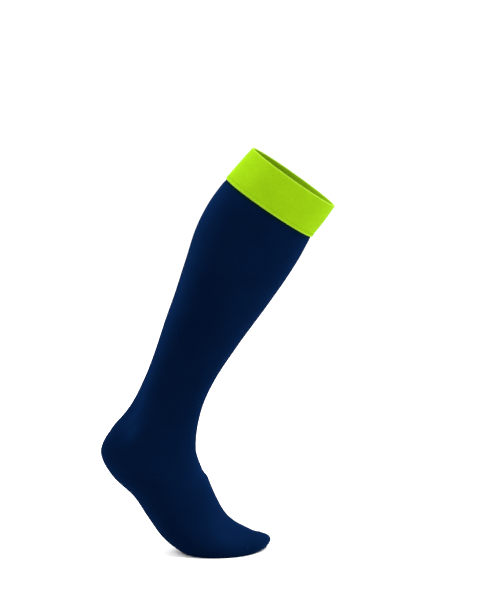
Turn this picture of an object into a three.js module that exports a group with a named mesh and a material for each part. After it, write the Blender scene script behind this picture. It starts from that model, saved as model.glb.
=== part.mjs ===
// A knee-high compression stocking, a right one, stretched to its full shape with the heel
// raised: a navy knitted tube from the calf to the closed toe, and a lime elastic band round the
// top. Millimetres, +Z up, the toe towards +X, the stocking's inner side towards +Y.
// The origin is the centre of the band, which holds the stocking up.
import * as THREE from "three";

// Cloth
const KNIT = 1.2; // one layer of the elastic knit
const SEAM_GAP = 0.3; // clearance between two pieces at a seam
const FLOOR_Z = -420; // height of the ground that the ball and the toe press on

// Band: a doubled strip, folded at the top edge, whose outer layer laps over the calf
const BAND_HEIGHT = 45.5; // top edge to lower edge, along the tube
const BAND_LAP = 8; // how far the calf's top edge reaches up under the band's outer layer
const BAND_PROUD = 0.7; // how far the band stands out from the calf below it
const EDGE_ROUND = 0.5; // rounding of the band's lower edge
const PINCH_LENGTH = 7; // stretch of calf below the band that is drawn in to pass under it

// Toe
const TOE_ROUND = 33; // length over which the toe closes
const TOE_BLUNT = 2.4; // 2 closes the toe as an ellipse, and more makes it blunter

// Mesh
const AROUND = 40; // points round each ring
const TOE_ROUND_RINGS = 8; // over the closing end of the toe
const BAND_RINGS = 6; // up each face of the band

// Stretches of the knitted tube. start is the distance from the top edge along the middle line,
// gap is the clearance before the stretch there, wider where a bend or a slant narrows it on one
// side, and rings are those of its even part.
const STRETCHES = [
  { name: "calf", start: BAND_HEIGHT + PINCH_LENGTH, gap: 0, rings: 8 },
  { name: "shin", start: 125, gap: SEAM_GAP, rings: 7 },
  { name: "ankle", start: 205, gap: SEAM_GAP, rings: 8 },
  { name: "heel", start: 285, gap: 0.35, rings: 16 },
  { name: "arch", start: 385, gap: 0.5, rings: 8 },
  { name: "forefoot", start: 436, gap: 0.4, rings: 9 },
  { name: "toe", start: 497, gap: 0.57, rings: 4 },
];

// Sections of the stretched stocking. x and z place a section's centre, lean is the rise of its
// back-to-front line in degrees, depth is back to front (sole to instep in the foot), width is
// side to side, and taper makes the front narrower than the back where it is negative.
const TUBE_SECTIONS = [
  { name: "top edge", x: 15, z: 17, lean: -35.3, depth: 114, width: 104, taper: -0.03 },
  { name: "band middle", x: 1, z: -0.5, lean: -35, depth: 116.5, width: 106, taper: -0.04 },
  { name: "band foot", x: -14, z: -19, lean: -34.3, depth: 118, width: 107, taper: -0.05 },
  { name: "upper calf", x: -30.5, z: -44.5, lean: -32, depth: 122, width: 108, taper: -0.08 },
  { name: "full calf", x: -46, z: -72, lean: -30, depth: 119, width: 107, taper: -0.1 },
  { name: "lower calf", x: -61.5, z: -103.5, lean: -28.5, depth: 108.5, width: 99, taper: -0.1 },
  { name: "upper shin", x: -77.5, z: -135.5, lean: -27, depth: 97, width: 88, taper: -0.07 },
  { name: "middle shin", x: -94, z: -167.5, lean: -26, depth: 87, width: 77, taper: -0.03 },
  { name: "lower shin", x: -109.5, z: -200, lean: -24.5, depth: 77.5, width: 68, taper: 0.04 },
  { name: "ankle", x: -123, z: -231, lean: -20.5, depth: 75, width: 63, taper: 0.1 },
  { name: "ankle base", x: -134.5, z: -258.5, lean: -13, depth: 82, width: 65, taper: 0.12 },
  { name: "heel top", x: -147, z: -281, lean: -5, depth: 100, width: 67, taper: 0.06 },
  { name: "heel", x: -153, z: -299, lean: 3.5, depth: 111, width: 67, taper: 0 },
  { name: "heel base", x: -146.5, z: -317, lean: 14, depth: 102.5, width: 68, taper: -0.04 },
  { name: "arch", x: -131.5, z: -336.5, lean: 24, depth: 86.5, width: 70, taper: -0.08 },
  { name: "instep", x: -118.5, z: -357.5, lean: 32, depth: 83.5, width: 74, taper: -0.12 },
  { name: "waist", x: -105.5, z: -379.5, lean: 37.5, depth: 77.5, width: 80, taper: -0.14 },
  { name: "ball", x: -88.5, z: -398, lean: 44, depth: 65, width: 88, taper: -0.14 },
  { name: "toe start", x: -72.5, z: -407.5, lean: 51, depth: 53.5, width: 92, taper: -0.12 },
  { name: "toes", x: -55.5, z: -412.5, lean: 58, depth: 42.5, width: 91, taper: -0.1 },
  { name: "toe middle", x: -40, z: -414.5, lean: 66, depth: 32, width: 85, taper: -0.06 },
  { name: "toe tip", x: -13.5, z: -411.5, lean: 80, depth: 21, width: 74, taper: 0 },
];

// The forefoot is not the same on both sides. crest raises the inner side, splay turns that side
// forwards in degrees, and y moves the centre towards it. The other sections are even-sided.
const EVEN_SIDED = { crest: 0, splay: 0, y: 0 };
const FOREFOOT_SIDES = {
  waist: { crest: 0.04, splay: 3, y: 0 },
  ball: { crest: 0.08, splay: 6, y: 0.5 },
  "toe start": { crest: 0.13, splay: 9, y: 1 },
  toes: { crest: 0.16, splay: 12, y: 2 },
  "toe middle": { crest: 0.16, splay: 14, y: 3 },
  "toe tip": { crest: 0.13, splay: 16, y: 5 },
};

const SECTIONS = TUBE_SECTIONS.map((section) => ({
  ...section,
  ...(FOREFOOT_SIDES[section.name] ?? EVEN_SIDED),
}));
const COLUMNS = ["x", "z", "lean", "depth", "width", "taper", "crest", "splay", "y"];

// The soft crease across the instep, where the foot bends
const CREASE_AT = 412; // distance of its middle from the top edge
const CREASE_LENGTH = 6; // half-width along the foot
const CREASE_DEPTH = 0.8;
const CREASE_REACH = THREE.MathUtils.degToRad(40); // how far it runs round the foot to each side

// Distance of each section from the top edge, along the middle line
const along = [0];
for (let i = 1; i < SECTIONS.length; i++) {
  const step = Math.hypot(SECTIONS[i].x - SECTIONS[i - 1].x, SECTIONS[i].z - SECTIONS[i - 1].z);
  along.push(along[i - 1] + step);
}
const TOE_TIP = along[along.length - 1];

// The section at a distance from the top edge, on a smooth curve through the named ones
function sectionAt(distance) {
  const d = Math.min(Math.max(distance, 0), TOE_TIP);
  let i = 0;
  while (i < along.length - 2 && d > along[i + 1]) i++;
  const span = along[i + 1] - along[i];
  const t = (d - along[i]) / span;
  const slope = (column, k) => {
    const before = Math.max(k - 1, 0);
    const after = Math.min(k + 1, along.length - 1);
    return (SECTIONS[after][column] - SECTIONS[before][column]) / (along[after] - along[before]);
  };
  const found = {};
  for (const column of COLUMNS) {
    found[column] =
      (2 * t ** 3 - 3 * t ** 2 + 1) * SECTIONS[i][column] +
      (t ** 3 - 2 * t ** 2 + t) * span * slope(column, i) +
      (3 * t ** 2 - 2 * t ** 3) * SECTIONS[i + 1][column] +
      (t ** 3 - t ** 2) * span * slope(column, i + 1);
  }
  return found;
}

// How far the toe has closed at a distance: 1 where it is open, 0 at the tip
function closing(distance) {
  const into = Math.max(0, distance - (TOE_TIP - TOE_ROUND)) / TOE_ROUND;
  return Math.max(0, 1 - Math.min(into, 1) ** TOE_BLUNT) ** (1 / TOE_BLUNT);
}

// How far the crease draws the cloth in at a distance and an angle from the front
function creaseDepth(distance, angle) {
  const aside = Math.atan2(Math.sin(angle), Math.cos(angle)) / CREASE_REACH;
  const past = (distance - CREASE_AT) / CREASE_LENGTH;
  return CREASE_DEPTH * Math.exp(-aside * aside - past * past);
}

// A point of the stocking's outside. The angle runs from the front or the instep, past the inner
// side, to the back or the sole.
function outsideAt(distance, angle) {
  const s = sectionAt(distance);
  const open = closing(distance);
  const lean = THREE.MathUtils.degToRad(s.lean);
  const splay = THREE.MathUtils.degToRad(s.splay);
  const ahead = Math.cos(angle);
  const aside = Math.sin(angle);
  const forward = new THREE.Vector3(Math.cos(lean), 0, Math.sin(lean));
  const sideways = new THREE.Vector3(Math.sin(splay), Math.cos(splay), 0);
  const rise = (s.depth / 2) * ahead * (1 + s.crest * aside * Math.max(ahead, 0));
  const spread = (s.width / 2) * aside * (1 + s.taper * ahead);
  const arm = forward.multiplyScalar(rise * open).addScaledVector(sideways, spread * open);
  const reach = arm.length();
  if (reach > 0) arm.multiplyScalar(1 - creaseDepth(distance, angle) / reach);
  const point = new THREE.Vector3(s.x, s.y, s.z).add(arm);
  point.z = Math.max(point.z, FLOOR_Z);
  return point;
}

// The direction out of the cloth at a place on the outside, from its slopes along and round it
function outwards(distance, angle) {
  const step = 0.4;
  const turn = 0.01;
  const down = outsideAt(distance + step, angle).sub(outsideAt(distance - step, angle));
  const round = outsideAt(distance, angle + turn).sub(outsideAt(distance, angle - turn));
  return down.cross(round).normalize();
}

// A ring of points at a distance, moved out from the outside by an offset
function ring(distance, offset) {
  return Array.from({ length: AROUND }, (_, k) => {
    const angle = (2 * Math.PI * k) / AROUND;
    return outsideAt(distance, angle).addScaledVector(outwards(distance, angle), offset);
  });
}

// How far the calf is drawn in so that it passes under the band
function drawnIn(distance) {
  const tuck = KNIT + SEAM_GAP - BAND_PROUD;
  const past = (distance - BAND_HEIGHT) / PINCH_LENGTH;
  return tuck * (1 - THREE.MathUtils.smoothstep(past, 0, 1));
}

// Evenly spaced distances, both ends among them
function spaced(from, to, count) {
  return Array.from({ length: count }, (_, r) => THREE.MathUtils.lerp(from, to, r / (count - 1)));
}

// A closed body from rings of points. Each ring is joined to the next, and the last to the first
// unless both ends are drawn to a point.
function bodyOf(rings, firstTip, lastTip) {
  const points = rings.flat();
  const index = [];
  const at = (r, k) => r * AROUND + (k % AROUND);
  const joined = firstTip ? rings.length - 1 : rings.length;
  for (let r = 0; r < joined; r++) {
    const next = (r + 1) % rings.length;
    for (let k = 0; k < AROUND; k++) {
      index.push(at(r, k), at(next, k), at(next, k + 1));
      index.push(at(r, k), at(next, k + 1), at(r, k + 1));
    }
  }
  if (firstTip) {
    points.push(firstTip, lastTip);
    const first = points.length - 2;
    const last = points.length - 1;
    for (let k = 0; k < AROUND; k++) {
      index.push(first, at(0, k), at(0, k + 1));
      index.push(last, at(rings.length - 1, k + 1), at(rings.length - 1, k));
    }
  }
  return new THREE.BufferGeometry().setFromPoints(points).setIndex(index);
}

// The distances of a stretch's rings, evenly spaced up to its end or to the next stretch
function stationsOf(name, end) {
  const i = STRETCHES.findIndex((stretch) => stretch.name === name);
  const { start, gap, rings } = STRETCHES[i];
  const next = STRETCHES[i + 1];
  return spaced(start + gap / 2, end ?? next.start - next.gap / 2, rings);
}

// A stretch of the knitted tube, open at both ends, with a ring at each distance
function tube(stations) {
  const outside = stations.map((d) => ring(d, -drawnIn(d)));
  const inside = stations.map((d) => ring(d, -drawnIn(d) - KNIT));
  return bodyOf([...outside, ...inside.reverse()]);
}

// The calf, drawn in at its top edge to pass under the band
function calf() {
  const underBand = BAND_HEIGHT - BAND_LAP;
  const pinchMiddle = BAND_HEIGHT + PINCH_LENGTH / 2;
  return tube([underBand, BAND_HEIGHT, pinchMiddle, ...stationsOf("calf")]);
}

// The toe, open where it joins the foot and closed at its tip
function toe() {
  const straightEnd = TOE_TIP - TOE_ROUND;
  const stations = stationsOf("toe", straightEnd);
  for (let r = 1; r < TOE_ROUND_RINGS; r++) {
    const turn = (Math.PI / 2) * (r / TOE_ROUND_RINGS);
    stations.push(straightEnd + TOE_ROUND * Math.sin(turn));
  }
  const outside = stations.map((d) => ring(d, 0));
  const inside = stations.map((d) => ring(d, -KNIT));
  const tip = outsideAt(TOE_TIP, 0);
  const innerTip = tip.clone().add(new THREE.Vector3(-KNIT, 0, 0));
  return bodyOf([...inside.reverse(), ...outside], innerTip, tip);
}

// The band: up its outside, over the fold, down its inner layer to the calf's top edge, and down
// inside the lap to the lower edge
function band() {
  const calfTop = BAND_HEIGHT - BAND_LAP;
  const innerFace = BAND_PROUD - 2 * KNIT;
  const lapFace = BAND_PROUD - KNIT;
  const profile = [];
  for (const distance of spaced(BAND_HEIGHT - EDGE_ROUND, KNIT, BAND_RINGS)) {
    profile.push([distance, BAND_PROUD]);
  }
  for (const turn of [45, 90, 135]) {
    const fold = THREE.MathUtils.degToRad(turn);
    profile.push([KNIT - KNIT * Math.sin(fold), lapFace + KNIT * Math.cos(fold)]);
  }
  for (const distance of spaced(KNIT, calfTop - SEAM_GAP, BAND_RINGS)) {
    profile.push([distance, innerFace]);
  }
  profile.push([calfTop - SEAM_GAP, lapFace]);
  profile.push([BAND_HEIGHT, lapFace]);
  profile.push([BAND_HEIGHT, BAND_PROUD - EDGE_ROUND]);
  return bodyOf(profile.map(([distance, offset]) => ring(distance, offset)).reverse());
}

const navyKnit = new THREE.MeshStandardMaterial({ color: 0x04173d, roughness: 0.85, metalness: 0 });
const limeKnit = new THREE.MeshStandardMaterial({ color: 0x9ed60c, roughness: 0.8, metalness: 0 });

const stocking = new THREE.Group();
function add(name, geometry, material) {
  const mesh = new THREE.Mesh(geometry, material);
  mesh.name = name;
  stocking.add(mesh);
}
add("top_band", band(), limeKnit);
add("calf", calf(), navyKnit);
for (const name of ["shin", "ankle", "heel", "arch", "forefoot"]) {
  add(name, tube(stationsOf(name)), navyKnit);
}
add("toe", toe(), navyKnit);

export default stocking;
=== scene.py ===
# A knee-high compression stocking, a right one, stretched to its full shape with the heel raised:
# one seamless navy knit, closed at the toe, under a doubled lime band. The knit and the band
# follow the sections of the solid model.
import math
from functools import lru_cache

import bpy
from mathutils import Matrix, Vector, noise


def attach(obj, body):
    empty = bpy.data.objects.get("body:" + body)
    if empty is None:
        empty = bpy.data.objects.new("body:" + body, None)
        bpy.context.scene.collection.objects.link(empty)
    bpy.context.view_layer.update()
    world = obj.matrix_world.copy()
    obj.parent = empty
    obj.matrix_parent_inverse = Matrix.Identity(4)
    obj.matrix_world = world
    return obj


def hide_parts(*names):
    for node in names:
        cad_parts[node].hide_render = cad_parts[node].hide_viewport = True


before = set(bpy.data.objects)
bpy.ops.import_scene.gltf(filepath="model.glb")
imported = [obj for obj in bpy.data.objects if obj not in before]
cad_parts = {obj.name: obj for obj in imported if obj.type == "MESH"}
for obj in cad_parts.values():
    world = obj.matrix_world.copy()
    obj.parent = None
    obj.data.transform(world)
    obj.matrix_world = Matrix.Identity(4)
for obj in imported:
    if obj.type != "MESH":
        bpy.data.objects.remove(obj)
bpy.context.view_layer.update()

MM = 0.001

# Sizes in millimetres, as the solid model has them
BAND_HEIGHT = 45.5
BAND_LAP = 8
BAND_PROUD = 0.7
TUCK = 0.8  # how far the calf is drawn in to pass under the band
PINCH_LENGTH = 7
TOE_ROUND = 33
TOE_BLUNT = 2.4
FLOOR_Z = -420

KNITTED_NODES = ("calf", "shin", "ankle", "heel", "arch", "forefoot", "toe")

# Sections of the stretched stocking, in millimetres and degrees
TUBE_SECTIONS = {
    "top edge": {"x": 15, "z": 17, "lean": -35.3, "depth": 114, "width": 104, "taper": -0.03},
    "band middle": {"x": 1, "z": -0.5, "lean": -35, "depth": 116.5, "width": 106, "taper": -0.04},
    "band foot": {"x": -14, "z": -19, "lean": -34.3, "depth": 118, "width": 107, "taper": -0.05},
    "upper calf": {"x": -30.5, "z": -44.5, "lean": -32, "depth": 122, "width": 108, "taper": -0.08},
    "full calf": {"x": -46, "z": -72, "lean": -30, "depth": 119, "width": 107, "taper": -0.1},
    "lower calf": {"x": -61.5, "z": -103.5, "lean": -28.5, "depth": 108.5, "width": 99, "taper": -0.1},
    "upper shin": {"x": -77.5, "z": -135.5, "lean": -27, "depth": 97, "width": 88, "taper": -0.07},
    "middle shin": {"x": -94, "z": -167.5, "lean": -26, "depth": 87, "width": 77, "taper": -0.03},
    "lower shin": {"x": -109.5, "z": -200, "lean": -24.5, "depth": 77.5, "width": 68, "taper": 0.04},
    "ankle": {"x": -123, "z": -231, "lean": -20.5, "depth": 75, "width": 63, "taper": 0.1},
    "ankle base": {"x": -134.5, "z": -258.5, "lean": -13, "depth": 82, "width": 65, "taper": 0.12},
    "heel top": {"x": -147, "z": -281, "lean": -5, "depth": 100, "width": 67, "taper": 0.06},
    "heel": {"x": -153, "z": -299, "lean": 3.5, "depth": 111, "width": 67, "taper": 0},
    "heel base": {"x": -146.5, "z": -317, "lean": 14, "depth": 102.5, "width": 68, "taper": -0.04},
    "arch": {"x": -131.5, "z": -336.5, "lean": 24, "depth": 86.5, "width": 70, "taper": -0.08},
    "instep": {"x": -118.5, "z": -357.5, "lean": 32, "depth": 83.5, "width": 74, "taper": -0.12},
    "waist": {"x": -105.5, "z": -379.5, "lean": 37.5, "depth": 77.5, "width": 80, "taper": -0.14},
    "ball": {"x": -88.5, "z": -398, "lean": 44, "depth": 65, "width": 88, "taper": -0.14},
    "toe start": {"x": -72.5, "z": -407.5, "lean": 51, "depth": 53.5, "width": 92, "taper": -0.12},
    "toes": {"x": -55.5, "z": -412.5, "lean": 58, "depth": 42.5, "width": 91, "taper": -0.1},
    "toe middle": {"x": -40, "z": -414.5, "lean": 66, "depth": 32, "width": 85, "taper": -0.06},
    "toe tip": {"x": -13.5, "z": -411.5, "lean": 80, "depth": 21, "width": 74, "taper": 0},
}
EVEN_SIDED = {"crest": 0, "splay": 0, "y": 0}
FOREFOOT_SIDES = {
    "waist": {"crest": 0.04, "splay": 3, "y": 0},
    "ball": {"crest": 0.08, "splay": 6, "y": 0.5},
    "toe start": {"crest": 0.13, "splay": 9, "y": 1},
    "toes": {"crest": 0.16, "splay": 12, "y": 2},
    "toe middle": {"crest": 0.16, "splay": 14, "y": 3},
    "toe tip": {"crest": 0.13, "splay": 16, "y": 5},
}
SECTIONS = [
    {**section, **FOREFOOT_SIDES.get(name, EVEN_SIDED)}
    for name, section in TUBE_SECTIONS.items()
]
COLUMNS = ("x", "z", "lean", "depth", "width", "taper", "crest", "splay", "y")

# Creases and hollows, and bulges where the depth is negative: distance from the top edge,
# half-length along the tube, depth, and the angles of the middle and of the reach round the tube
# from the front
CREASES = (
    {"name": "instep", "at": 412, "length": 6, "depth": 0.6, "middle": 0, "reach": 42},
    {"name": "under the instep", "at": 423, "length": 5, "depth": -0.5, "middle": 0, "reach": 35},
    {"name": "front of the ankle", "at": 372, "length": 5, "depth": 0.3, "middle": 10, "reach": 40},
    {"name": "above the heel", "at": 327, "length": 4.5, "depth": 0.35, "middle": 180, "reach": 45},
    {"name": "over the heel", "at": 340, "length": 4, "depth": 0.25, "middle": 172, "reach": 38},
    {"name": "outer ankle swell", "at": 325, "length": 14, "depth": -1.8, "middle": -108, "reach": 17},
    {"name": "inner ankle swell", "at": 316, "length": 15, "depth": -2, "middle": 98, "reach": 17},
    {"name": "outer heel hollow", "at": 318, "length": 22, "depth": 1.8, "middle": -146, "reach": 14},
    {"name": "inner heel hollow", "at": 314, "length": 22, "depth": 1.8, "middle": 146, "reach": 14},
)

# Places where the knit is paler as painted light, and darker as painted shade where the share is
# negative: distance from the top edge and half-length, in millimetres, and the middle and the
# reach in degrees, the same on both sides of the front
PAINTED_LIGHT_AND_SHADE_PLACES = (
    {"name": "top of the forefoot", "at": 502, "length": 44, "middle": 40, "reach": 48, "share": 0.28},
    {"name": "instep", "at": 412, "length": 38, "middle": 0, "reach": 44, "share": 0.46},
    {"name": "front of the ankle", "at": 295, "length": 42, "middle": 20, "reach": 38, "share": -0.12},
    {"name": "beside the heel", "at": 298, "length": 30, "middle": 154, "reach": 20, "share": 0.36},
    {"name": "towards the ankle", "at": 322, "length": 14, "middle": 140, "reach": 14, "share": 0.28},
    {"name": "low on the ankle", "at": 337, "length": 12, "middle": 121, "reach": 11, "share": 0.42},
    {"name": "back of the shin", "at": 204, "length": 92, "middle": 153, "reach": 17, "share": 0.28},
    {"name": "side of the shin", "at": 220, "length": 90, "middle": 100, "reach": 36, "share": -0.06},
    {"name": "back of the calf", "at": 86, "length": 50, "middle": 160, "reach": 28, "share": 0.1},
    {"name": "sole", "at": 485, "length": 75, "middle": 160, "reach": 55, "share": -0.18},
)

# The knitted tube
KNIT = 1.0  # thickness of the knit
KNIT_COLUMNS = 144
STEP_ALONG = 2.6  # spacing of the rings
TOE_CAP_RINGS = 16
UNEVEN = 0.18  # soft unevenness of the stretched knit
UNEVEN_SPAN = 38  # size of its swells
UNEVEN_START = 30  # length below the band over which they grow

# The band: a strip folded at the top edge, so that it lies double
STRIP = 1.15  # thickness of one layer
STRIP_GAP = 0.1  # between the layers
EDGE_ROUND = 0.5  # rounding of the lower edge
SEAM_GAP = 0.3  # between the inner layer's end and the calf's top edge
WELT_HEIGHT = 2.6  # the rolled lower edge
WELT_PROUD = 0.28
BAND_COLUMNS = 200
PUFF = 0.14  # how far the doubled cloth swells between its edges

STITCHES_ROUND = 150
STITCH_LENGTH = 1.9
STITCH_THICKNESS = 0.34
STITCH_ROW = 4.2  # height of the row above the band's lower edge
STITCH_PROUD = 0.12  # how far its middle stands out from the band
STITCH_SLANT = math.radians(20)  # to either side of the row, in turn

# The linked seam over the toe
TOE_SEAM_AT = 535  # its distance from the top edge, at the middle of the toe
TOE_SEAM_SWEEP = 9  # how much further it lies at the sides
TOE_SEAM_REACH = 97  # how far it runs to each side, in degrees
TOE_SEAM_WIDTH = 1.5
TOE_SEAM_PROUD = 0.32
TOE_SEAM_RUN = 120  # its own length, which its thread's twist follows
TOE_SEAM_BLUNT = 12  # the higher, the more suddenly its ends close
TOE_SEAM_END = 0.02  # share of its width that is left at its ends
TOE_SEAM_COLUMNS = 10
TOE_SEAM_ROWS = 90

# Along the strip from where its lower edge begins to turn: the edge, the fold at the top, and how
# far to each side the cloth is paler there, as a painted highlight
STRIP_EDGE_AT = 1.3
STRIP_EDGE_REACH = 1.6
STRIP_FOLD_AT = 47.4
STRIP_FOLD_REACH = 2
BAND_PAINTED_SHADOW_REACH = 3.6  # how far the painted shadow of the band's edge darkens the calf

# The line on which the heel pocket is knitted on. It runs down and forwards on both sides.
GORE_AT = 345  # where it would meet the middle of the back
GORE_SLANT = 160  # how much further it lies after a whole turn
GORE_FROM = 0.05  # its ends, in turns from the middle of the back
GORE_TO = 0.33
GORE_WIDTH = 1.8

# Knit gauge
WALES_ROUND = 420
COURSES_PER_METRE = 1350
BAND_DOTS_ROUND = 240
BAND_DOTS_PER_METRE = 660

# Mesh
MERGE_BELOW = 0.002  # points nearer than this are one
SMOOTH_BELOW = 60  # edges that turn by fewer degrees are shaded smooth

# Camera and studio
AIM = Vector((-41.06, 0, -125.31)) * MM
CAMERA_DISTANCE = 3.2
CAMERA_RISE = math.radians(8)
SENSOR = 36
FRAME_HEIGHT = 690 * MM  # what the picture's height covers at the aim
FLOOR_SIZE = 80
SKY_STRENGTH = 1.06

# Softboxes, in metres and watts. Each is turned to face the aim.
SOFTBOXES = (
    {"name": "top_softbox", "place": (1.0, -0.45, 1.95), "size": (1.0, 1.0), "power": 100},
    {"name": "left_back_softbox", "place": (-1.6, 0.7, 1.3), "size": (1.0, 1.6), "power": 60},
    {"name": "right_back_softbox", "place": (1.7, 0.7, -0.1), "size": (1.0, 1.4), "power": 20},
    {"name": "front_softbox", "place": (-0.9, -2.4, 1.2), "size": (1.4, 1.4), "power": 4},
)


# Form of the stretched stocking

def distances_along():
    along = [0.0]
    for before, after in zip(SECTIONS, SECTIONS[1:]):
        along.append(along[-1] + math.hypot(after["x"] - before["x"], after["z"] - before["z"]))
    return along


ALONG = distances_along()
TOE_TIP = ALONG[-1]


def slope(column, k):
    before = max(k - 1, 0)
    after = min(k + 1, len(ALONG) - 1)
    return (SECTIONS[after][column] - SECTIONS[before][column]) / (ALONG[after] - ALONG[before])


@lru_cache(maxsize=None)
def section_at(distance):
    """The section at a distance from the top edge, on a smooth curve through the named ones."""
    d = min(max(distance, 0), TOE_TIP)
    i = 0
    while i < len(ALONG) - 2 and d > ALONG[i + 1]:
        i += 1
    span = ALONG[i + 1] - ALONG[i]
    t = (d - ALONG[i]) / span
    found = {}
    for column in COLUMNS:
        found[column] = (
            (2 * t**3 - 3 * t**2 + 1) * SECTIONS[i][column]
            + (t**3 - 2 * t**2 + t) * span * slope(column, i)
            + (3 * t**2 - 2 * t**3) * SECTIONS[i + 1][column]
            + (t**3 - t**2) * span * slope(column, i + 1)
        )
    return found


def closing(distance):
    """1 where the toe is open, 0 at its tip."""
    into = min(max(0, distance - (TOE_TIP - TOE_ROUND)) / TOE_ROUND, 1)
    return max(0, 1 - into**TOE_BLUNT) ** (1 / TOE_BLUNT)


def crease_depth(distance, angle):
    depth = 0
    for crease in CREASES:
        aside = angle - math.radians(crease["middle"])
        aside = math.atan2(math.sin(aside), math.cos(aside)) / math.radians(crease["reach"])
        past = (distance - crease["at"]) / crease["length"]
        depth += crease["depth"] * math.exp(-aside * aside - past * past)
    return depth


def smooth_step(value):
    t = min(max(value, 0), 1)
    return t * t * (3 - 2 * t)


def outside_at(distance, angle):
    """A point of the stocking's outside, in millimetres. The angle runs from the front, past the
    inner side, to the back."""
    s = section_at(distance)
    open_by = closing(distance)
    lean = math.radians(s["lean"])
    splay = math.radians(s["splay"])
    ahead = math.cos(angle)
    aside = math.sin(angle)
    rise = s["depth"] / 2 * ahead * (1 + s["crest"] * aside * max(ahead, 0)) * open_by
    spread = s["width"] / 2 * aside * (1 + s["taper"] * ahead) * open_by
    arm = Vector((math.cos(lean), 0, math.sin(lean))) * rise
    arm += Vector((math.sin(splay), math.cos(splay), 0)) * spread
    if arm.length > 0:
        arm *= 1 - crease_depth(distance, angle) * open_by / arm.length
    point = Vector((s["x"], s["y"], s["z"])) + arm
    point.z = max(point.z, FLOOR_Z)
    return point


def outwards(distance, angle):
    step = 0.4
    turn = 0.01
    down = outside_at(distance + step, angle) - outside_at(distance - step, angle)
    around = outside_at(distance, angle + turn) - outside_at(distance, angle - turn)
    return down.cross(around).normalized()


def moved_out(distance, angle, offset):
    """A point of the outside, moved out by an offset, in metres."""
    return (outside_at(distance, angle) + outwards(distance, angle) * offset) * MM


# Modelling helpers

def deselect_all():
    if bpy.context.object and bpy.context.object.mode != "OBJECT":
        bpy.ops.object.mode_set(mode="OBJECT")
    bpy.ops.object.select_all(action="DESELECT")


def grid_piece(name, columns, rows, place, texture_place):
    """A grid bent to a shape and closed where its edges meet. place and texture_place take the
    share of the way across the columns, and the row."""
    deselect_all()
    bpy.ops.mesh.primitive_grid_add(x_subdivisions=columns, y_subdivisions=rows, size=2, calc_uvs=True)
    piece = bpy.context.object
    piece.name = name
    mesh = piece.data
    mesh.name = name
    at = []
    for vertex in mesh.vertices:
        across = (vertex.co.x + 1) / 2
        row = round((vertex.co.y + 1) / 2 * rows)
        at.append(texture_place(across, row))
        vertex.co = place(across, row)
    texture = mesh.uv_layers.active.data
    for loop in mesh.loops:
        texture[loop.index].uv = at[loop.vertex_index]
    bpy.ops.object.mode_set(mode="EDIT")
    bpy.ops.mesh.select_all(action="SELECT")
    bpy.ops.mesh.remove_doubles(threshold=MERGE_BELOW * MM)
    bpy.ops.mesh.normals_make_consistent(inside=False)
    bpy.ops.object.mode_set(mode="OBJECT")
    return piece


def apply_modifiers(piece):
    deselect_all()
    piece.select_set(True)
    bpy.context.view_layer.objects.active = piece
    for modifier in list(piece.modifiers):
        bpy.ops.object.modifier_apply(modifier=modifier.name)


def shade_smooth(piece):
    deselect_all()
    piece.select_set(True)
    bpy.context.view_layer.objects.active = piece
    bpy.ops.object.shade_smooth_by_angle(angle=math.radians(SMOOTH_BELOW))


# Materials

def new_material(name):
    material = bpy.data.materials.new(name)
    material.use_nodes = True
    tree = material.node_tree
    shader = tree.nodes["Principled BSDF"]
    return material, tree, shader


def calculate(tree, operation, first, second=None, third=None, clamp=False):
    """A Math node. Its inputs are numbers or sockets."""
    node = tree.nodes.new("ShaderNodeMath")
    node.operation = operation
    node.use_clamp = clamp
    for socket, value in zip(node.inputs, (first, second, third)):
        if value is None:
            continue
        if isinstance(value, (int, float)):
            socket.default_value = value
        else:
            tree.links.new(value, socket)
    return node.outputs[0]


def texture_coordinates(tree):
    """The piece's own coordinates: turns round it, and metres along it."""
    source = tree.nodes.new("ShaderNodeUVMap")
    parts = tree.nodes.new("ShaderNodeSeparateXYZ")
    tree.links.new(source.outputs["UV"], parts.inputs[0])
    return parts.outputs["X"], parts.outputs["Y"]


def noise_texture(tree, scale, detail=3.0):
    place = tree.nodes.new("ShaderNodeTexCoord")
    node = tree.nodes.new("ShaderNodeTexNoise")
    node.inputs["Scale"].default_value = scale
    node.inputs["Detail"].default_value = detail
    node.inputs["Roughness"].default_value = 0.55
    tree.links.new(place.outputs["Object"], node.inputs["Vector"])
    return node.outputs["Fac"]


def mixed_colour(tree, factor, first, second):
    """The first colour where the factor is 0, the second where it is 1. The first may be a socket."""
    node = tree.nodes.new("ShaderNodeMix")
    node.data_type = "RGBA"
    if isinstance(first, tuple):
        node.inputs["A"].default_value = (*first, 1)
    else:
        tree.links.new(first, node.inputs["A"])
    node.inputs["B"].default_value = (*second, 1)
    tree.links.new(factor, node.inputs["Factor"])
    return node.outputs["Result"]


def between(tree, factor, low, high):
    node = tree.nodes.new("ShaderNodeMapRange")
    node.inputs["To Min"].default_value = low
    node.inputs["To Max"].default_value = high
    tree.links.new(factor, node.inputs["Value"])
    return node.outputs["Result"]


def bump(tree, shader, height, depth, strength):
    node = tree.nodes.new("ShaderNodeBump")
    node.inputs["Strength"].default_value = strength
    node.inputs["Distance"].default_value = depth
    tree.links.new(height, node.inputs["Height"])
    tree.links.new(node.outputs["Normal"], shader.inputs["Normal"])


def jersey_height(tree, wales, courses):
    """Rows of small V stitches: 0 in the grooves between the yarns, 1 on top of them."""
    turn, along = texture_coordinates(tree)
    wale = calculate(tree, "MULTIPLY", turn, wales)
    course = calculate(tree, "MULTIPLY", along, courses)
    aside = calculate(tree, "MULTIPLY", calculate(tree, "PINGPONG", wale, 0.5), 2)
    yarn = calculate(tree, "SINE", calculate(tree, "MULTIPLY", aside, math.pi))
    slant = calculate(tree, "ADD", course, calculate(tree, "MULTIPLY", aside, 0.6))
    wave = calculate(tree, "SINE", calculate(tree, "MULTIPLY", slant, 2 * math.pi))
    wave = calculate(tree, "MULTIPLY_ADD", wave, 0.25, 0.75)
    return calculate(tree, "MULTIPLY", yarn, wave)


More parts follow.
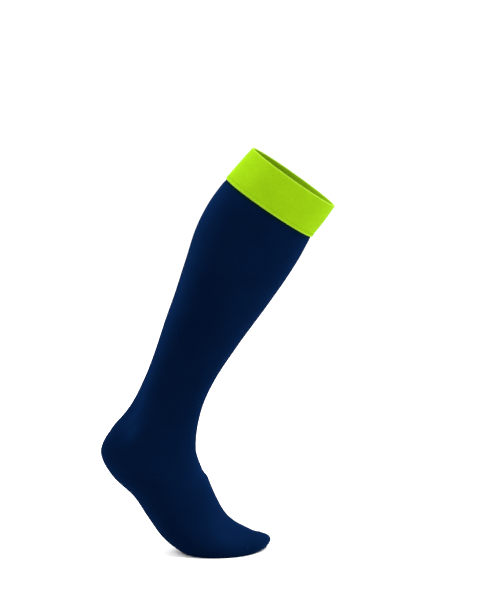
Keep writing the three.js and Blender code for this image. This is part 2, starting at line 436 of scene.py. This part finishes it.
def near_place(tree, along, place, reach):
    """1 at a place along the piece, falling to 0 at a reach from it. Both are in millimetres."""
    apart = calculate(tree, "ABSOLUTE", calculate(tree, "SUBTRACT", along, place * MM))
    return calculate(tree, "SUBTRACT", 1, calculate(tree, "DIVIDE", apart, reach * MM), clamp=True)


def painted_light_and_shade(tree):
    """The sum of the shares of the places of painted light and painted shade, each fading evenly all round.
    """
    turn, along = texture_coordinates(tree)
    from_front = calculate(tree, "ABSOLUTE", calculate(tree, "SUBTRACT", turn, 1))
    total = None
    for place in PAINTED_LIGHT_AND_SHADE_PLACES:
        aside = calculate(tree, "SUBTRACT", from_front, place["middle"] / 360)
        aside = calculate(tree, "DIVIDE", aside, place["reach"] / 360)
        past = calculate(tree, "SUBTRACT", along, place["at"] * MM)
        past = calculate(tree, "DIVIDE", past, place["length"] * MM)
        aside = calculate(tree, "POWER", aside, 2)
        past = calculate(tree, "POWER", past, 2)
        apart = calculate(tree, "ADD", aside, past)
        near = calculate(tree, "EXPONENT", calculate(tree, "MULTIPLY", apart, -1))
        share = calculate(tree, "MULTIPLY", near, place["share"])
        total = share if total is None else calculate(tree, "ADD", total, share)
    return total


def gore_line(tree):
    """1 on the line where the heel pocket is knitted on, on both sides."""
    turn, along = texture_coordinates(tree)
    from_front = calculate(tree, "ABSOLUTE", calculate(tree, "SUBTRACT", turn, 1))
    from_back = calculate(tree, "SUBTRACT", 0.5, from_front)
    line = calculate(tree, "ADD", calculate(tree, "MULTIPLY", from_back, GORE_SLANT * MM), GORE_AT * MM)
    apart = calculate(tree, "ABSOLUTE", calculate(tree, "SUBTRACT", along, line))
    apart = calculate(tree, "DIVIDE", apart, GORE_WIDTH / 2 * MM)
    near = calculate(tree, "SUBTRACT", 1, apart, clamp=True)
    starts = calculate(tree, "GREATER_THAN", from_back, GORE_FROM)
    ends = calculate(tree, "LESS_THAN", from_back, GORE_TO)
    return calculate(tree, "MULTIPLY", near, calculate(tree, "MULTIPLY", starts, ends))


def cloth_finish(shader, roughness, specular, sheen, sheen_tint):
    shader.inputs["Roughness"].default_value = roughness
    shader.inputs["Specular IOR Level"].default_value = specular
    shader.inputs["Sheen Weight"].default_value = sheen
    shader.inputs["Sheen Roughness"].default_value = 0.4
    shader.inputs["Sheen Tint"].default_value = (*sheen_tint, 1)


def navy_knit(name, dark, pale, band_painted_shadow=None):
    """Fine jersey. Its shade, from dark to pale, is the sum of the shares of the stitches, of soft
    swells, of flecks in the yarn and of the places of painted light and painted shade."""
    material, tree, shader = new_material(name)
    cloth_finish(shader, roughness=0.82, specular=0.002, sheen=0.07, sheen_tint=(0.002, 0.2, 0.95))
    stitches = jersey_height(tree, WALES_ROUND, COURSES_PER_METRE)
    swells = noise_texture(tree, 28)
    flecks = noise_texture(tree, 900, detail=1.5)
    # The stitches' height also sets the colour, darker in the grooves between the yarns: painted shade
    shade = calculate(tree, "MULTIPLY", stitches, 0.45)
    shade = calculate(tree, "ADD", shade, calculate(tree, "MULTIPLY", swells, 0.4))
    shade = calculate(tree, "ADD", shade, calculate(tree, "MULTIPLY", flecks, 0.12))
    gore = gore_line(tree)
    shade = calculate(tree, "SUBTRACT", shade, calculate(tree, "MULTIPLY", gore, 0.1))
    # The places of painted light and painted shade are added to the colour here
    shade = calculate(tree, "ADD", calculate(tree, "MULTIPLY", shade, 0.63), painted_light_and_shade(tree), clamp=True)
    colour = mixed_colour(tree, shade, dark, pale)
    # Painted shadow under the band's lower edge, tinted green as painted bounce light from the band
    if band_painted_shadow:
        _, along = texture_coordinates(tree)
        painted_shadow_beside_band = near_place(tree, along, BAND_HEIGHT, BAND_PAINTED_SHADOW_REACH)
        colour = mixed_colour(tree, calculate(tree, "POWER", painted_shadow_beside_band, 0.5), colour, band_painted_shadow)
    tree.links.new(colour, shader.inputs["Base Color"])
    tree.links.new(between(tree, flecks, 0.76, 0.88), shader.inputs["Roughness"])
    height = calculate(tree, "SUBTRACT", stitches, calculate(tree, "MULTIPLY", gore, 0.5))
    bump(tree, shader, height, 0.12 * MM, 0.6)
    return material


def lime_knit(name, dark, pale, edge_painted_highlight):
    """Denser elastic knit with rows of small dots, and a paler colour along its edge and fold, a painted
    highlight.
    """
    material, tree, shader = new_material(name)
    cloth_finish(shader, roughness=0.78, specular=0.006, sheen=0.16, sheen_tint=(0.55, 1, 0.002))
    turn, along = texture_coordinates(tree)
    across = calculate(tree, "SINE", calculate(tree, "MULTIPLY", turn, 2 * math.pi * BAND_DOTS_ROUND))
    down = calculate(tree, "SINE", calculate(tree, "MULTIPLY", along, 2 * math.pi * BAND_DOTS_PER_METRE))
    dots = calculate(tree, "MULTIPLY_ADD", calculate(tree, "MULTIPLY", across, down), 0.5, 0.5)
    stitches = jersey_height(tree, 2 * BAND_DOTS_ROUND, 2 * BAND_DOTS_PER_METRE)
    flecks = noise_texture(tree, 700, detail=2)
    swells = noise_texture(tree, 40)
    height = calculate(tree, "MULTIPLY", dots, 0.7)
    height = calculate(tree, "ADD", height, calculate(tree, "MULTIPLY", stitches, 0.3))
    mottle = calculate(tree, "MULTIPLY", calculate(tree, "SUBTRACT", flecks, 0.3), 2.5, clamp=True)
    # The height of the dots and stitches also sets the colour, darker in the grooves: painted shade
    shade = calculate(tree, "MULTIPLY", height, 0.4)
    shade = calculate(tree, "ADD", shade, calculate(tree, "MULTIPLY", mottle, 0.28))
    shade = calculate(tree, "ADD", shade, calculate(tree, "MULTIPLY", swells, 0.32), clamp=True)
    colour = mixed_colour(tree, shade, dark, pale)
    # Painted highlight along the rolled lower edge and along the fold at the top
    for place, reach in ((STRIP_EDGE_AT, STRIP_EDGE_REACH), (STRIP_FOLD_AT, STRIP_FOLD_REACH)):
        colour = mixed_colour(tree, near_place(tree, along, place, reach), colour, edge_painted_highlight)
    tree.links.new(colour, shader.inputs["Base Color"])
    tree.links.new(between(tree, flecks, 0.72, 0.86), shader.inputs["Roughness"])
    bump(tree, shader, height, 0.16 * MM, 0.6)
    return material


def sewing_thread(name, dark, pale, twists):
    """Thread whose own length runs along the second texture coordinate, twisted so many times in
    each unit of it."""
    material, tree, shader = new_material(name)
    cloth_finish(shader, roughness=0.8, specular=0.004, sheen=0.05, sheen_tint=pale)
    turn, along = texture_coordinates(tree)
    twist = calculate(tree, "ADD", calculate(tree, "MULTIPLY", along, twists), turn)
    twist = calculate(tree, "SINE", calculate(tree, "MULTIPLY", twist, 2 * math.pi))
    twist = calculate(tree, "MULTIPLY_ADD", twist, 0.5, 0.5)
    # The colour follows the twist, darker in the grooves between the plies: painted shade
    tree.links.new(mixed_colour(tree, twist, dark, pale), shader.inputs["Base Color"])
    bump(tree, shader, twist, 0.08 * MM, 0.6)
    return material


def floor_paper():
    material, tree, shader = new_material("pale_paper")
    shader.inputs["Roughness"].default_value = 0.9
    shader.inputs["Specular IOR Level"].default_value = 0.1
    grain = noise_texture(tree, 3)
    colour = mixed_colour(tree, grain, (0.96, 0.96, 0.96), (0.98, 0.98, 0.98))
    tree.links.new(colour, shader.inputs["Base Color"])
    return material


NAVY = navy_knit(
    "navy_knit_face",
    dark=(0.0001, 0.0015, 0.0068),
    pale=(0.0011, 0.0085, 0.0375),
    # The colour of the painted shadow under the band, green-tinted as painted bounce light
    band_painted_shadow=(0.0006, 0.008, 0.0008),
)
NAVY_REVERSE = navy_knit("navy_knit_reverse", dark=(0.0008, 0.008, 0.03), pale=(0.002, 0.019, 0.07))
LIME = lime_knit(
    "lime_band_knit_face",
    dark=(0.105, 0.2, 0.001),
    pale=(0.195, 0.37, 0.004),
    # The colour of the painted highlight along the edge and the fold
    edge_painted_highlight=(0.22, 0.34, 0.03),
)
LIME_THREAD = sewing_thread("lime_thread", dark=(0.11, 0.21, 0.001), pale=(0.19, 0.36, 0.004), twists=4)
NAVY_THREAD = sewing_thread(
    "navy_thread",
    dark=(0.0004, 0.003, 0.013),
    pale=(0.0012, 0.0095, 0.041),
    twists=700,
)


# The knitted tube, from under the band to the toe

def knit_stations():
    top = BAND_HEIGHT - BAND_LAP
    cap = TOE_TIP - TOE_ROUND
    straight = round((cap - top) / STEP_ALONG)
    stations = [top + (cap - top) * r / straight for r in range(straight + 1)]
    for r in range(1, TOE_CAP_RINGS + 1):
        stations.append(cap + TOE_ROUND * math.sin(math.pi / 2 * r / TOE_CAP_RINGS))
    return stations


def drawn_in(distance):
    """How far the calf is drawn in so that it passes under the band."""
    return TUCK * (1 - smooth_step((distance - BAND_HEIGHT) / PINCH_LENGTH))


def unevenness(distance, angle):
    """Soft swells of the stretched knit, none under the band and none at the closed tip."""
    free = smooth_step((distance - BAND_HEIGHT - PINCH_LENGTH) / UNEVEN_START) * closing(distance)
    place = outside_at(distance, angle) / UNEVEN_SPAN
    return UNEVEN * free * noise.noise(place)


def make_knitted_tube():
    stations = knit_stations()

    def place(across, row):
        distance = stations[row]
        angle = 2 * math.pi * (across + 0.5)
        if row == len(stations) - 1:
            return outside_at(TOE_TIP, 0) * MM
        offset = unevenness(distance, angle) - drawn_in(distance)
        return moved_out(distance, angle, offset)

    def texture_place(across, row):
        return (across + 0.5, stations[row] * MM)

    tube = grid_piece("knitted_tube", KNIT_COLUMNS, len(stations) - 1, place, texture_place)
    tube.data.materials.append(NAVY)
    tube.data.materials.append(NAVY_REVERSE)
    wall = tube.modifiers.new("wall", "SOLIDIFY")
    wall.thickness = KNIT * MM
    wall.offset = -1
    wall.material_offset = 1
    apply_modifiers(tube)
    shade_smooth(tube)
    return tube


# The doubled band

def band_profile():
    """The band's cross-section: distance from the top edge, and offset from the outside. It goes
    up the outer face, over the fold, down the inner face, and back between the two layers."""
    fold = STRIP + STRIP_GAP / 2
    middle = BAND_PROUD - fold
    inner_end = BAND_HEIGHT - BAND_LAP - SEAM_GAP
    profile = []
    for r in range(5):
        turn = math.pi * r / 4
        down = BAND_HEIGHT - EDGE_ROUND + EDGE_ROUND * math.sin(turn)
        profile.append((down, BAND_PROUD - STRIP / 2 - STRIP / 2 * math.cos(turn)))
    for r in range(9):
        above = EDGE_ROUND + WELT_HEIGHT * r / 8
        profile.append((BAND_HEIGHT - above, BAND_PROUD + WELT_PROUD * math.sin(math.pi * r / 8)))
    rise = BAND_HEIGHT - EDGE_ROUND - WELT_HEIGHT - fold
    for r in range(1, 15):
        share = r / 15
        profile.append((fold + rise * (1 - share), BAND_PROUD + PUFF * math.sin(math.pi * share)))
    for r in range(9):
        turn = math.pi * r / 8
        profile.append((fold - fold * math.sin(turn), middle + fold * math.cos(turn)))
    for r in range(1, 13):
        profile.append((fold + (inner_end - fold) * r / 12, middle - fold))
    profile.append((inner_end + SEAM_GAP, middle - fold + STRIP / 2))
    for r in range(13):
        profile.append((inner_end + (fold - inner_end) * r / 12, middle - STRIP_GAP / 2))
    profile.append((fold - STRIP_GAP / 2, middle))
    for r in range(13):
        profile.append((fold + (BAND_HEIGHT - EDGE_ROUND - fold) * r / 13, middle + STRIP_GAP / 2))
    profile.append(profile[0])
    return profile


def make_band():
    profile = band_profile()
    lengths = [0.0]
    for before, after in zip(profile, profile[1:]):
        lengths.append(lengths[-1] + math.dist(before, after))

    def place(across, row):
        distance, offset = profile[row]
        return moved_out(distance, 2 * math.pi * (across + 0.5), offset)

    def texture_place(across, row):
        return (across, lengths[row] * MM)

    band = grid_piece("elastic_band", BAND_COLUMNS, len(profile) - 1, place, texture_place)
    band.data.materials.append(LIME)
    shade_smooth(band)
    return band


def make_band_stitches():
    """One zigzag row of stitches round the band, which sews it to the calf."""
    deselect_all()
    radius = STITCH_THICKNESS / 2 * MM
    bpy.ops.mesh.primitive_uv_sphere_add(segments=8, ring_count=6, radius=radius, calc_uvs=True)
    pattern = bpy.context.object
    pattern.name = "band_stitching"
    pattern.data.name = "band_stitching"
    pattern.data.materials.append(LIME_THREAD)
    bpy.ops.object.mode_set(mode="EDIT")
    bpy.ops.mesh.select_all(action="SELECT")
    bpy.ops.transform.resize(value=(1, 1, STITCH_LENGTH / STITCH_THICKNESS))
    bpy.ops.object.mode_set(mode="OBJECT")
    stitches = [pattern]
    for _ in range(STITCHES_ROUND - 1):
        stitch = pattern.copy()
        stitch.data = pattern.data.copy()
        bpy.context.collection.objects.link(stitch)
        stitches.append(stitch)
    distance = BAND_HEIGHT - STITCH_ROW
    turn = 0.01
    for k, stitch in enumerate(stitches):
        angle = 2 * math.pi * k / STITCHES_ROUND
        slant = STITCH_SLANT if k % 2 else -STITCH_SLANT
        around = (outside_at(distance, angle + turn) - outside_at(distance, angle - turn)).normalized()
        out = outwards(distance, angle)
        run = around * math.cos(slant) + out.cross(around) * math.sin(slant)
        turned = Matrix((out.cross(run), out, run)).transposed()
        stitch.rotation_euler = turned.to_euler()
        stitch.location = moved_out(distance, angle, BAND_PROUD + STITCH_PROUD)
    deselect_all()
    for stitch in stitches:
        stitch.select_set(True)
    bpy.context.view_layer.objects.active = pattern
    bpy.ops.object.transform_apply(location=True, rotation=True, scale=True)
    bpy.ops.object.join()
    shade_smooth(pattern)
    return pattern


# The linked seam that closes the toe

def make_toe_seam():
    def middle_of(row):
        share = 2 * row / TOE_SEAM_ROWS - 1
        angle = math.radians(TOE_SEAM_REACH) * share
        distance = TOE_SEAM_AT + TOE_SEAM_SWEEP * share * share
        return distance, angle, share

    def place(across, row):
        distance, angle, share = middle_of(row)
        turn = 2 * math.pi * across
        swell = max(TOE_SEAM_END, 1 - share**TOE_SEAM_BLUNT)
        aside = TOE_SEAM_WIDTH / 2 * math.cos(turn) * swell
        offset = TOE_SEAM_PROUD * math.sin(turn) * swell
        return moved_out(distance + aside, angle, offset)

    def texture_place(across, row):
        return (across, row / TOE_SEAM_ROWS * TOE_SEAM_RUN * MM)

    seam = grid_piece("toe_seam", TOE_SEAM_COLUMNS, TOE_SEAM_ROWS, place, texture_place)
    seam.data.materials.append(NAVY_THREAD)
    bpy.context.view_layer.objects.active = seam
    bpy.ops.object.mode_set(mode="EDIT")
    bpy.ops.mesh.select_all(action="SELECT")
    bpy.ops.mesh.fill_holes(sides=TOE_SEAM_COLUMNS + 1)
    bpy.ops.mesh.normals_make_consistent(inside=False)
    bpy.ops.object.mode_set(mode="OBJECT")
    shade_smooth(seam)
    return seam


# Studio

def make_floor():
    deselect_all()
    bpy.ops.mesh.primitive_plane_add(size=FLOOR_SIZE, location=(0, 0, FLOOR_Z * MM))
    floor = bpy.context.object
    floor.name = "floor"
    floor.data.materials.append(floor_paper())


def make_softbox(name, place, size, power):
    light = bpy.data.lights.new(name, "AREA")
    light.shape = "RECTANGLE"
    light.size, light.size_y = size
    light.energy = power
    lamp = bpy.data.objects.new(name, light)
    lamp.location = place
    lamp.rotation_euler = (AIM - Vector(place)).to_track_quat("-Z", "Y").to_euler()
    bpy.context.collection.objects.link(lamp)


def make_studio():
    make_floor()
    world = bpy.data.worlds.new("studio")
    world.use_nodes = True
    world.node_tree.nodes["Background"].inputs["Color"].default_value = (1, 1, 1, 1)
    world.node_tree.nodes["Background"].inputs["Strength"].default_value = SKY_STRENGTH
    bpy.context.scene.world = world
    for softbox in SOFTBOXES:
        make_softbox(**softbox)
    bpy.context.scene.view_settings.view_transform = "Standard"


def make_camera():
    camera = bpy.data.cameras.new("camera")
    camera.sensor_fit = "VERTICAL"
    camera.sensor_height = SENSOR
    camera.lens = SENSOR * CAMERA_DISTANCE / FRAME_HEIGHT
    holder = bpy.data.objects.new("camera", camera)
    back = Vector((0, -math.cos(CAMERA_RISE), math.sin(CAMERA_RISE)))
    holder.location = AIM + back * CAMERA_DISTANCE
    holder.rotation_euler = (-back).to_track_quat("-Z", "Y").to_euler()
    bpy.context.collection.objects.link(holder)
    bpy.context.scene.camera = holder


make_studio()
make_camera()

tube = make_knitted_tube()
toe_seam = make_toe_seam()
band = make_band()
stitching = make_band_stitches()

for piece in (tube, toe_seam, band, stitching):
    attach(piece, "root")
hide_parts(*KNITTED_NODES)
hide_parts("top_band")
